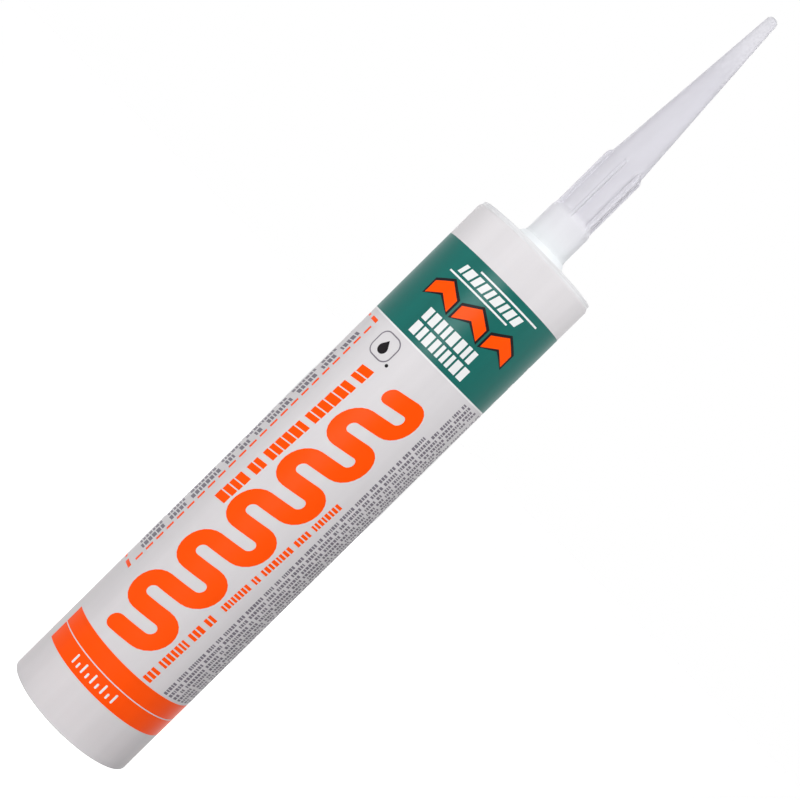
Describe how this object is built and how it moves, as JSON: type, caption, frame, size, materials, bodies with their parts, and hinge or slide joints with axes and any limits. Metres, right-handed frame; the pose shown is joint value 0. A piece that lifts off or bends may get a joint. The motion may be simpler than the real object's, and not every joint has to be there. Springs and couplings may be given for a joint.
{
  "type": "caulk tube",
  "caption": "Plastic sealant cartridge with an open rear, a sliding plunger, a pressed-in end cap and a screwed-on ribbed nozzle with a long closed cone.",
  "frame": {"origin": "centre of the rear rim, on the surface that the tube stands on", "axes": "+Z along the tube from the rear rim to the tip of the nozzle; the front of the print faces -Y"},
  "size_m": [0.05, 0.05, 0.3268],
  "materials": {
    "barrel_plastic": "satin",
    "cap_plastic": "satin",
    "foil": "satin",
    "nozzle_plastic": "satin",
    "plunger_plastic": "matte",
    "paste": "gloss"
  },
  "bodies": {
    "barrel": {"barrel": "barrel_plastic", "end_cap": "cap_plastic", "neck_seal": "foil", "sealant": "paste"},
    "plunger": {"plunger": "plunger_plastic"},
    "nozzle": {"nozzle": "nozzle_plastic"}
  },
  "joints": [
    {"name": "plunger_slide", "type": "slide", "parent": "barrel", "child": "plunger", "axis": [0, 0, 1], "range_m": [0, 0.167], "deforming": ["sealant"]},
    {"name": "nozzle_lift", "type": "slide", "parent": "barrel", "child": "nozzle", "axis": [0, 0, 1], "range_m": [0, 0.025]}
  ]
}
